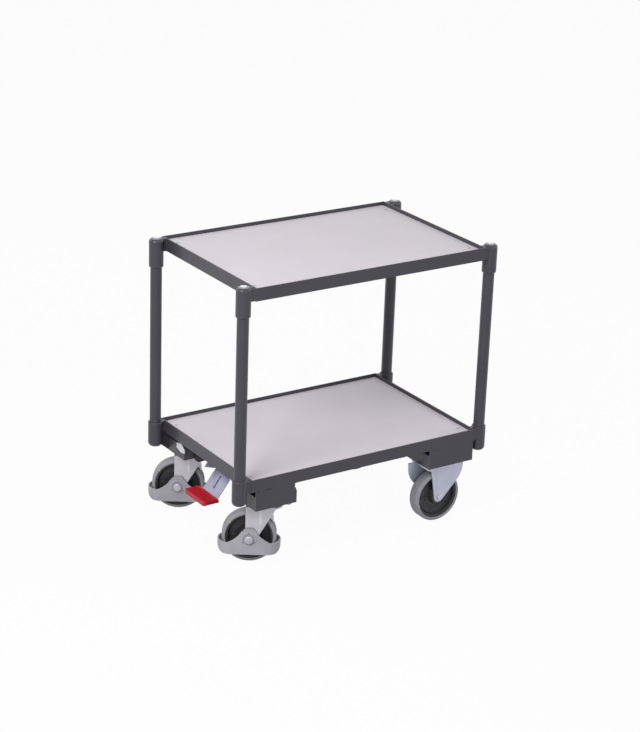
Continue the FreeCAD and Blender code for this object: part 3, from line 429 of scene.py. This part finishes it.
def bead(made, start, end, radius, ripples, flat=1.0, lift=None, around=12):
    """A rounded run from start to end that swells with each ripple and is drawn in at both ends.

    Across the direction of lift it keeps its radius; along it, it is flattened to the share flat.
    """
    along = (end - start).normalized()
    side = (lift or along.orthogonal()).normalized()
    other = along.cross(side)
    steps = ripples * BEAD_RINGS
    rings = []
    for step in range(steps + 1):
        share = step / steps
        swell = BEAD_VALLEY + (1.0 - BEAD_VALLEY) * abs(math.sin(math.pi * ripples * share))
        tip = min(1.0, BEAD_TIP + BEAD_TAPER * share, BEAD_TIP + BEAD_TAPER * (1.0 - share))
        girth = radius * swell * tip
        middle = start.lerp(end, share)
        ring = []
        for k in range(around):
            angle = TAU * k / around
            outward = side * math.cos(angle) * flat + other * math.sin(angle)
            ring.append(made.verts.new(middle + outward * girth))
        rings.append(ring)
    for ring, following in zip(rings, rings[1:]):
        for first in range(around):
            second = (first + 1) % around
            made.faces.new((ring[first], ring[second], following[second], following[first]))
    made.faces.new(rings[0])
    made.faces.new(rings[-1])


def prism(made, outline, spread):
    """A solid between an outline and the same outline moved by spread."""
    first = [made.verts.new(point) for point in outline]
    second = [made.verts.new(point + spread) for point in outline]
    made.faces.new(first)
    made.faces.new(second)
    for start in range(len(outline)):
        end = (start + 1) % len(outline)
        made.faces.new((first[start], first[end], second[end], second[start]))


def outer_face(box, axis, sign):
    """Where a box ends along an axis, towards minus or plus."""
    low, high = box
    return low[axis] if sign < 0 else high[axis]


# Wheels and foot guards; places along an axle are measured from the wheel's middle

WEB_FACE = 0.0045
HUB_RING = (0.0285, 0.0315)
HUB_RING_RISE = 0.0016
RIM_RING = (0.0435, 0.0460)
RIM_RING_RISE = 0.0012
RIB_COUNT = 5
RIB_START = 0.0200
RIB_END = 0.0445
RIB_RADIUS = 0.0014
TYRE_WALL = 0.0160
TYRE_BAND = (0.0558, 0.0566)
TYRE_BAND_RISE = 0.0003
TYRE_BAND_SEGMENTS = 96
DOT_DOME = {"radius": 0.0019, "height": 0.0005, "foot": 0.0004}
DOT_PLACE = 0.0562
DOT_SINK = 0.0003
DOT_ANGLES = {"swivel": math.radians(38.0), "fixed": math.radians(345.0)}
DOT_SEGMENTS = 20
GUARD_FACE = 0.0330
GUARD_RING = (0.0134, 0.0182)
GUARD_RING_RISE = 0.0004
GUARD_RING_STEPS = 10
# Small dark domes on each guard, painted shade of pin holes
DIMPLE_COUNT = 3
DIMPLE_DOME = {"radius": 0.0010, "height": 0.0003, "foot": 0.0006}
DIMPLE_PLACE = 0.0158
DIMPLE_LIFT = 0.0002
DIMPLE_SEGMENTS = 16
BOLT_HEAD = 0.0365
BOLT_DOME = {"radius": 0.0098, "height": 0.0028, "foot": 0.0004}
NECK_INNER = 0.0155
NECK_OUTER = 0.0243
NECK_BACK = 0.0272
NECK_FRONT = 0.0302
NECK_PROFILE = ((NECK_INNER, NECK_BACK), (NECK_OUTER, NECK_BACK),
                (NECK_OUTER, NECK_FRONT), (NECK_INNER, NECK_FRONT))


def wheel_place(kind, side):
    """Centre of a wheel and the direction of its axle, from its roll joint."""
    joint = joints[f"{kind}_{side}_roll"]
    return Vector(joint["pos_m"]), Vector(joint["axis"]).normalized()


def around_axle(centre, axis, radius, angle, out):
    """A point beside an axle: angle up from the level direction across it, out along the axle."""
    level = axis.cross(UP).normalized()
    return centre + (level * math.cos(angle) + UP * math.sin(angle)) * radius + axis * out


def dress_wheel(kind, side):
    """Ribs and rings on both faces of a rim, a raised band on the tyre's wall, a small coloured dot."""
    centre, axle = wheel_place(kind, side)
    body = f"{kind}_{side}_wheel"
    ribs = bmesh.new()
    bands = bmesh.new()
    dots = bmesh.new()
    for axis in (axle, -axle):
        lathe(ribs, ring_band(*HUB_RING, WEB_FACE, HUB_RING_RISE), centre, axis)
        lathe(ribs, ring_band(*RIM_RING, WEB_FACE, RIM_RING_RISE), centre, axis)
        for k in range(RIB_COUNT):
            angle = TAU * k / RIB_COUNT
            inner = around_axle(centre, axis, RIB_START, angle, WEB_FACE)
            outer = around_axle(centre, axis, RIB_END, angle, WEB_FACE)
            bead(ribs, inner, outer, RIB_RADIUS, ripples=1, lift=axis)
        band = ring_band(*TYRE_BAND, TYRE_WALL, TYRE_BAND_RISE)
        lathe(bands, band, centre, axis, TYRE_BAND_SEGMENTS)
        spot = around_axle(centre, axis, DOT_PLACE, DOT_ANGLES[kind], TYRE_WALL - DOT_SINK)
        lathe(dots, dome(**DOT_DOME), spot, axis, DOT_SEGMENTS)
    add_piece(f"{kind}_{side}_rim_ribs", ribs, SURFACES["rim_plastic"], body)
    add_piece(f"{kind}_{side}_tyre_band", bands, SURFACES["tyre_grey"], body)
    add_piece(f"{kind}_{side}_tyre_dot", dots, MARK, body)


def dress_guard(side):
    """Raised ring round the axle bolt with small dark dots, painted shade of pin holes, a domed cap on the
    bolt's head, a pad behind the ring.
    """
    centre, axle = wheel_place("swivel", side)
    body = f"swivel_{side}"
    ring = bmesh.new()
    pit_shades = bmesh.new()
    cap = bmesh.new()
    neck = bmesh.new()
    for axis in (axle, -axle):
        lathe(ring, ring_band(*GUARD_RING, GUARD_FACE, GUARD_RING_RISE, GUARD_RING_STEPS), centre, axis)
        for k in range(DIMPLE_COUNT):
            angle = TAU / 4 + TAU * k / DIMPLE_COUNT
            spot = around_axle(centre, axis, DIMPLE_PLACE, angle, GUARD_FACE + DIMPLE_LIFT)
            lathe(pit_shades, dome(**DIMPLE_DOME), spot, axis, DIMPLE_SEGMENTS)
        lathe(cap, dome(**BOLT_DOME), centre + axis * BOLT_HEAD, axis)
        lathe(neck, NECK_PROFILE, centre, axis)
    add_piece(f"swivel_{side}_guard_ring", ring, SURFACES["guard_plastic"], body)
    add_piece(f"swivel_{side}_guard_pit_shades", pit_shades, DARK_SEAM_AND_PIT_SHADE, body)
    add_piece(f"swivel_{side}_bolt_dome", cap, SURFACES["zinc_head"], body)
    add_piece(f"swivel_{side}_guard_neck", neck, SURFACES["guard_plastic"], body)


for side in SIDES:
    dress_guard(side)
    for kind in ("swivel", "fixed"):
        dress_wheel(kind, side)


# Welds between the brackets, the sleeves and the frame

# Open stretches of each bracket's weld, from its left end
OPEN_SEAMS = {"swivel": [(0.001, 0.010), (0.022, 0.043)], "fixed": [(0.007, 0.012)]}
SEAM_INSET = 0.001
SEAM_RADIUS = 0.0010
SEAM_FLAT = 0.3
SEAM_LIFT = 0.0001
SEAM_RIPPLES = 2
WELD_RADIUS = 0.0011
WELD_FLAT = 0.5
WELD_SHORTEST = 0.003
RIPPLE_LENGTH = 0.004
FEWEST_RIPPLES = 2
WEB_BEAD_RADIUS = 0.0016
WEB_BEAD_RIPPLES = 7
WEB_BEAD_INSET = 0.001
WEB_BEAD_APART = 0.0062
FILLET_EDGE = 0.0008
FILLET_HOLLOW = 0.0020
FILLET_ROOT = 0.0070
FILLET_STEPS = 8
FILLET_SOFT = 0.0003


def weld_bracket(kind, side):
    """Weld runs along a bracket's seam with the rail, broken by dark gaps that the weld left open."""
    low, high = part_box(f"{kind}_{side}_bracket")
    outward = Vector((0, SIDES[side], 0))
    seam = Vector((0, outer_face((low, high), Y, SIDES[side]), high.z))
    welds = bmesh.new()
    dark = bmesh.new()
    edge = low.x + SEAM_INSET
    for start, end in OPEN_SEAMS[kind] + [(high.x - low.x - SEAM_INSET, None)]:
        gap_start = seam + Vector((low.x + start, 0, 0))
        run = low.x + start - edge
        if run > WELD_SHORTEST:
            ripples = max(FEWEST_RIPPLES, round(run / RIPPLE_LENGTH))
            bead(welds, seam + Vector((edge, 0, 0)), gap_start, WELD_RADIUS, ripples, WELD_FLAT, outward)
        if end:
            gap_end = seam + Vector((low.x + end, 0, 0))
            lift = outward * SEAM_LIFT
            bead(dark, gap_start + lift, gap_end + lift, SEAM_RADIUS, SEAM_RIPPLES, SEAM_FLAT, outward)
            edge = low.x + end
    add_piece(f"{kind}_{side}_weld", welds, SURFACES["frame_paint"], "chassis")
    add_piece(f"{kind}_{side}_seam", dark, DARK_SEAM_AND_PIT_SHADE, "chassis")


def frame_corners():
    """Boxes of the end rail and the sleeve at each corner of both shelf frames, and which way is out."""
    for level in ("lower", "upper"):
        for end, out_x in ENDS.items():
            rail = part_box(f"{level}_{end}_rail")
            for side, out_y in SIDES.items():
                yield rail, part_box(f"{level}_{side}_{end}_sleeve"), out_x, out_y


def weld_sleeves():
    """Beads down both sides of each web that ties a sleeve to its end rail."""
    beads = bmesh.new()
    for rail, (sleeve_low, sleeve_high), out_x, _ in frame_corners():
        low, high = rail
        face = outer_face(rail, X, out_x)
        middle = (sleeve_low.y + sleeve_high.y) / 2
        height = high.z - low.z - 2 * WEB_BEAD_INSET
        for flank in (-1, 1):
            foot = Vector((face, middle + flank * WEB_BEAD_APART, low.z + WEB_BEAD_INSET))
            bead(beads, foot, foot + UP * height, WEB_BEAD_RADIUS, WEB_BEAD_RIPPLES)
    add_piece("sleeve_welds", beads, SURFACES["frame_paint"], "chassis")


def corner_fillets():
    """Hollow weld metal that closes the corner between each sleeve and the side face of its shelf frame."""
    made = bmesh.new()
    for rail, sleeve, out_x, out_y in frame_corners():
        rail_low, rail_high = rail
        sleeve_low, sleeve_high = sleeve
        face_x = outer_face(rail, X, out_x)
        face_y = outer_face(rail, Y, out_y)
        radius = (sleeve_high.y - sleeve_low.y) / 2
        middle = (sleeve_low.y + sleeve_high.y) / 2
        apart = abs(outer_face(sleeve, X, out_x) - face_x) - radius
        touch = apart - math.sqrt(radius ** 2 - (abs(face_y - middle) - FILLET_EDGE) ** 2)
        section = []
        for k in range(FILLET_STEPS + 1):
            share = k / FILLET_STEPS
            section.append((touch * share, FILLET_EDGE + FILLET_HOLLOW * math.sin(math.pi * share)))
        section += [(touch + FILLET_EDGE, FILLET_ROOT), (0.0, FILLET_ROOT)]
        foot = rail_low.z + FILLET_EDGE
        outline = [Vector((face_x + out_x * out, face_y - out_y * inward, foot)) for out, inward in section]
        prism(made, outline, UP * (rail_high.z - rail_low.z - 2 * FILLET_EDGE))
    fillets = add_piece("corner_fillets", made, SURFACES["frame_paint"], "chassis")
    flat_faces(fillets, FILLET_SOFT)


for side in SIDES:
    weld_bracket("swivel", side)
    weld_bracket("fixed", side)
weld_sleeves()
corner_fillets()


# Plates at the swivel brackets

GUSSET_THICK = 0.004
GUSSET_SINK = 0.001
GUSSET_RISE = 0.002
GUSSET_DROP = 0.002
GUSSET_SOFT = 0.0005
TAB_GAP = 0.0002
TAB_THICK = 0.0016
TAB_SOFT = 0.0006
# Corners of the tab: out from the wall's inner end, up from its lower edge
TAB_OUTLINE = ((-0.0037, 0.0192), (0.0137, 0.0160), (0.0334, 0.0214),
               (0.0346, 0.0345), (0.0118, 0.0398), (-0.0036, 0.0278))


def sleeve_gusset(side):
    """Plate that carries a swivel bracket's end wall on to the sleeve beside it, under the rail."""
    low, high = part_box(f"swivel_{side}_bracket")
    sleeve_low, sleeve_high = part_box(f"lower_{side}_left_sleeve")
    radius = (sleeve_high.y - sleeve_low.y) / 2
    middle = (sleeve_low.y + sleeve_high.y) / 2
    reach = sleeve_low.x + 2 * radius - GUSSET_SINK
    corners = ((low.x, low.z + GUSSET_RISE), (low.x, high.z),
               (reach, high.z), (reach, sleeve_low.z - GUSSET_DROP))
    outline = [Vector((x, middle - GUSSET_THICK / 2, z)) for x, z in corners]
    made = bmesh.new()
    prism(made, outline, Vector((0, GUSSET_THICK, 0)))
    plate = add_piece(f"swivel_{side}_gusset", made, SURFACES["frame_paint"], "chassis")
    flat_faces(plate, GUSSET_SOFT)


def bearing_tab(side):
    """Bright tab that comes out of a swivel bracket's end wall by the cut-out and lies on the wall."""
    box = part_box(f"swivel_{side}_bracket")
    low = box[0]
    sign = SIDES[side]
    inner = outer_face(box, Y, -sign)
    outline = [Vector((low.x - TAB_GAP, inner + sign * across, low.z + rise)) for across, rise in TAB_OUTLINE]
    made = bmesh.new()
    prism(made, outline, Vector((-TAB_THICK, 0, 0)))
    tab = add_piece(f"swivel_{side}_bearing_tab", made, SURFACES["zinc_bright"], "chassis")
    flat_faces(tab, TAB_SOFT)


# The photograph shows the gusset at the back castor alone
sleeve_gusset("back")
for side in SIDES:
    bearing_tab(side)


# Pin and strip at the pedal arm's slot

ARM_SLOPE = math.radians(52.0)
ARM_ALONG = Vector((math.cos(ARM_SLOPE), 0, math.sin(ARM_SLOPE)))
ARM_FRONT = Vector((-math.sin(ARM_SLOPE), 0, math.cos(ARM_SLOPE)))
PIN_PLACE = Vector((-0.2816, 0, 0.1263))
PIN_DOME = {"radius": 0.0036, "height": 0.0018, "foot": 0.0006}
PIN_SEGMENTS = 36
# Size and place of the strip that stands in for the shade inside the slot
SHADE_SHEET_SHIFT = 0.012
SHADE_SHEET_DEPTH = 0.0055
SHADE_SHEET_HALF_LENGTH = 0.018
SHADE_SHEET_HALF_WIDTH = 0.007
SHADE_SHEET_THICK = 0.0012
SHADE_SHEET_SOFT = 0.0003


def pedal_pin():
    """Round-headed pin at the lower end of the pedal arm's slot."""
    made = bmesh.new()
    lathe(made, dome(**PIN_DOME), PIN_PLACE, ARM_FRONT, PIN_SEGMENTS)
    add_piece("pedal_arm_pin", made, SURFACES["cap_chrome"], "brake_pedal_body")


def arm_slot_shade_sheet():
    """Strip behind the pedal arm's slot that stands in for the shade inside the slot, so that the slot shows
    grey instead of the floor: painted shade.
    """
    middle = PIN_PLACE + ARM_ALONG * SHADE_SHEET_SHIFT - ARM_FRONT * SHADE_SHEET_DEPTH
    outline = []
    for run, across in ((-1, -1), (1, -1), (1, 1), (-1, 1)):
        aside = Vector((0, across * SHADE_SHEET_HALF_WIDTH, 0))
        outline.append(middle + ARM_ALONG * (run * SHADE_SHEET_HALF_LENGTH) + aside)
    made = bmesh.new()
    prism(made, outline, -ARM_FRONT * SHADE_SHEET_THICK)
    slot_shade_sheet = add_piece("pedal_arm_slot_shade_sheet", made, SURFACES["zinc_arm"], "brake_pedal_body")
    flat_faces(slot_shade_sheet, SHADE_SHEET_SOFT)


pedal_pin()
arm_slot_shade_sheet()


# Creases of the forks, drawn in painted light: a darker line on the fixed forks is painted shade, a paler
# band on the swivel forks a painted highlight; a foot is a height above the floor, a drop lies below the
# fork's top

FIXED_FACE = 0.0215
FIXED_CREASE_ASIDE = 0.011
FIXED_CREASE_FOOT = 0.066
FIXED_CREASE_DROP = 0.006
FIXED_CREASE_RADIUS = 0.0010
FIXED_CREASE_FLAT = 0.35
SWIVEL_FACE = 0.0269
SWIVEL_CREASE_AHEAD = 0.026
SWIVEL_CREASE_FOOT = 0.092
SWIVEL_CREASE_DROP = 0.003
SWIVEL_CREASE_RADIUS = 0.0042
SWIVEL_CREASE_FLAT = 0.06


def fixed_crease_shade_lines(side):
    """A narrow rolled bead of darker zinc where the face of each leg of a fixed fork is folded: painted shade
    along the fold.
    """
    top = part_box(f"fixed_{side}_fork")[1].z - FIXED_CREASE_DROP
    middle = wheel_place("fixed", side)[0]
    made = bmesh.new()
    for flank in (-1, 1):
        face = Vector((middle.x + flank * FIXED_CREASE_ASIDE, middle.y + flank * FIXED_FACE, 0))
        bead(made, face + UP * FIXED_CREASE_FOOT, face + UP * top, FIXED_CREASE_RADIUS, ripples=1,
             flat=FIXED_CREASE_FLAT, lift=Vector((0, 1, 0)))
    add_piece(f"fixed_{side}_fork_crease_painted_light", made, SURFACES["zinc_arm"], "chassis")


def swivel_crease_highlights(side):
    """A wide, nearly flat band of bright zinc on each leg of a swivel fork, between the axle and the king
    pin: a painted highlight along the leg's fold.
    """
    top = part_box(f"swivel_{side}_fork")[1].z - SWIVEL_CREASE_DROP
    centre, axle = wheel_place("swivel", side)
    ahead = Vector(joints[f"swivel_{side}_turn"]["pos_m"]) - centre
    ahead.z = 0
    ahead.normalize()
    made = bmesh.new()
    for axis in (axle, -axle):
        face = centre + ahead * SWIVEL_CREASE_AHEAD + axis * SWIVEL_FACE
        face.z = 0
        bead(made, face + UP * SWIVEL_CREASE_FOOT, face + UP * top, SWIVEL_CREASE_RADIUS, ripples=1,
             flat=SWIVEL_CREASE_FLAT, lift=axis)
    add_piece(f"swivel_{side}_fork_crease_painted_light", made, SURFACES["zinc_bright"], f"swivel_{side}")


for side in SIDES:
    fixed_crease_shade_lines(side)
    swivel_crease_highlights(side)


# Camera at the photograph's viewing angle

IMAGE_WIDTH = 640
FOCAL_PIXELS = 2091.54
SENSOR_WIDTH = 36.0
CLIP_END = 60.0
AZIMUTH = math.radians(-33.77)
ELEVATION = math.radians(21.11)
ROLL = math.radians(2.06)
DISTANCE = 4.88231
TARGET = Vector((-0.00493, -0.00841, 0.37764))


def look(position, target, roll):
    """World matrix of an eye at position that looks at target, turned by roll about its line of sight."""
    forward = (target - position).normalized()
    level = forward.cross(UP).normalized()
    upright = level.cross(forward)
    right = level * math.cos(roll) + upright * math.sin(roll)
    up = upright * math.cos(roll) - level * math.sin(roll)
    turn = Matrix((right, up, -forward)).transposed().to_4x4()
    return Matrix.Translation(position) @ turn


def make_camera():
    camera = bpy.data.objects.new("camera", bpy.data.cameras.new("camera"))
    bpy.context.scene.collection.objects.link(camera)
    camera.data.sensor_fit = "HORIZONTAL"
    camera.data.sensor_width = SENSOR_WIDTH
    camera.data.lens = FOCAL_PIXELS * SENSOR_WIDTH / IMAGE_WIDTH
    camera.data.clip_end = CLIP_END
    away = Vector((math.sin(AZIMUTH) * math.cos(ELEVATION),
                   -math.cos(AZIMUTH) * math.cos(ELEVATION),
                   math.sin(ELEVATION)))
    camera.matrix_world = look(TARGET + away * DISTANCE, TARGET, ROLL)
    bpy.context.scene.camera = camera


make_camera()
bpy.context.scene.view_settings.view_transform = "Standard"


# Studio: pale floor, white surround, soft lamps

FLOOR_SIZE = 40.0
FLOOR_DROP = 0.0004
FLOOR_COLOUR = (0.55, 0.55, 0.56, 1.0)
# Share of plain white in the floor as it is seen; the rest keeps the shadow
FLOOR_WHITE = 0.96
WHITE = (1.0, 1.0, 1.0, 1.0)
WORLD_COLOUR = (0.97, 0.98, 1.0, 1.0)
WORLD_LEVEL = 0.43
LAMP_SIZE = 1.2
LAMP_AIM = Vector((0, 0, 0.35))
# Place, power in watts and colour of each lamp
LAMPS = {
    "key": ((-2.05, -1.0, 2.15), 60.0, (1.0, 0.98, 0.98)),
    "right": ((2.7, -0.7, 1.5), 16.0, (0.97, 0.98, 1.0)),
    "back": ((-1.0, 2.6, 2.4), 15.0, (1.0, 1.0, 1.0)),
    "front": ((0.4, -2.6, 1.8), 13.0, (0.93, 0.96, 1.0)),
}


def seen_directly(tree):
    """1 for rays from the camera, off a mirror or through glass, 0 for the light that falls on things."""
    path = tree.nodes.new("ShaderNodeLightPath")
    total = path.outputs["Is Camera Ray"]
    for name in ("Is Glossy Ray", "Is Transmission Ray"):
        larger = tree.nodes.new("ShaderNodeMath")
        larger.operation = "MAXIMUM"
        tree.links.new(total, larger.inputs[0])
        tree.links.new(path.outputs[name], larger.inputs[1])
        total = larger.outputs[0]
    return total


def show(tree, lighting, shown, output_kind):
    """End a node tree that lights things with one shader and shows another."""
    choice = tree.nodes.new("ShaderNodeMixShader")
    tree.links.new(seen_directly(tree), choice.inputs["Fac"])
    tree.links.new(lighting.outputs[0], choice.inputs[1])
    tree.links.new(shown.outputs[0], choice.inputs[2])
    output = tree.nodes.new(output_kind)
    tree.links.new(choice.outputs[0], output.inputs["Surface"])


def make_floor():
    bpy.ops.mesh.primitive_plane_add(size=FLOOR_SIZE, location=(0, 0, -FLOOR_DROP))
    floor = bpy.context.object
    floor.name = "floor"
    material = bpy.data.materials.new("floor")
    material.use_nodes = True
    tree = material.node_tree
    tree.nodes.clear()
    diffuse = tree.nodes.new("ShaderNodeBsdfDiffuse")
    diffuse.inputs["Color"].default_value = FLOOR_COLOUR
    white = tree.nodes.new("ShaderNodeEmission")
    white.inputs["Strength"].default_value = 1.0
    shown = tree.nodes.new("ShaderNodeMixShader")
    shown.inputs["Fac"].default_value = FLOOR_WHITE
    tree.links.new(diffuse.outputs[0], shown.inputs[1])
    tree.links.new(white.outputs[0], shown.inputs[2])
    show(tree, diffuse, shown, "ShaderNodeOutputMaterial")
    floor.data.materials.append(material)


def make_world():
    world = bpy.data.worlds.new("studio")
    bpy.context.scene.world = world
    world.use_nodes = True
    tree = world.node_tree
    tree.nodes.clear()
    soft = tree.nodes.new("ShaderNodeBackground")
    soft.inputs["Color"].default_value = WORLD_COLOUR
    soft.inputs["Strength"].default_value = WORLD_LEVEL
    white = tree.nodes.new("ShaderNodeBackground")
    white.inputs["Color"].default_value = WHITE
    show(tree, soft, white, "ShaderNodeOutputWorld")


def make_lamp(name, position, power, colour):
    data = bpy.data.lights.new(name, "AREA")
    data.color = colour
    data.shape = "SQUARE"
    data.size = LAMP_SIZE
    data.energy = power
    lamp = bpy.data.objects.new(name, data)
    bpy.context.scene.collection.objects.link(lamp)
    lamp.matrix_world = look(Vector(position), LAMP_AIM, 0)


make_floor()
make_world()
for name, (position, power, colour) in LAMPS.items():
    make_lamp(name, position, power, colour)


# Dress the solids

for name, item in nodes.items():
    dress(name, item, TINTED.get(name, slots[name]))
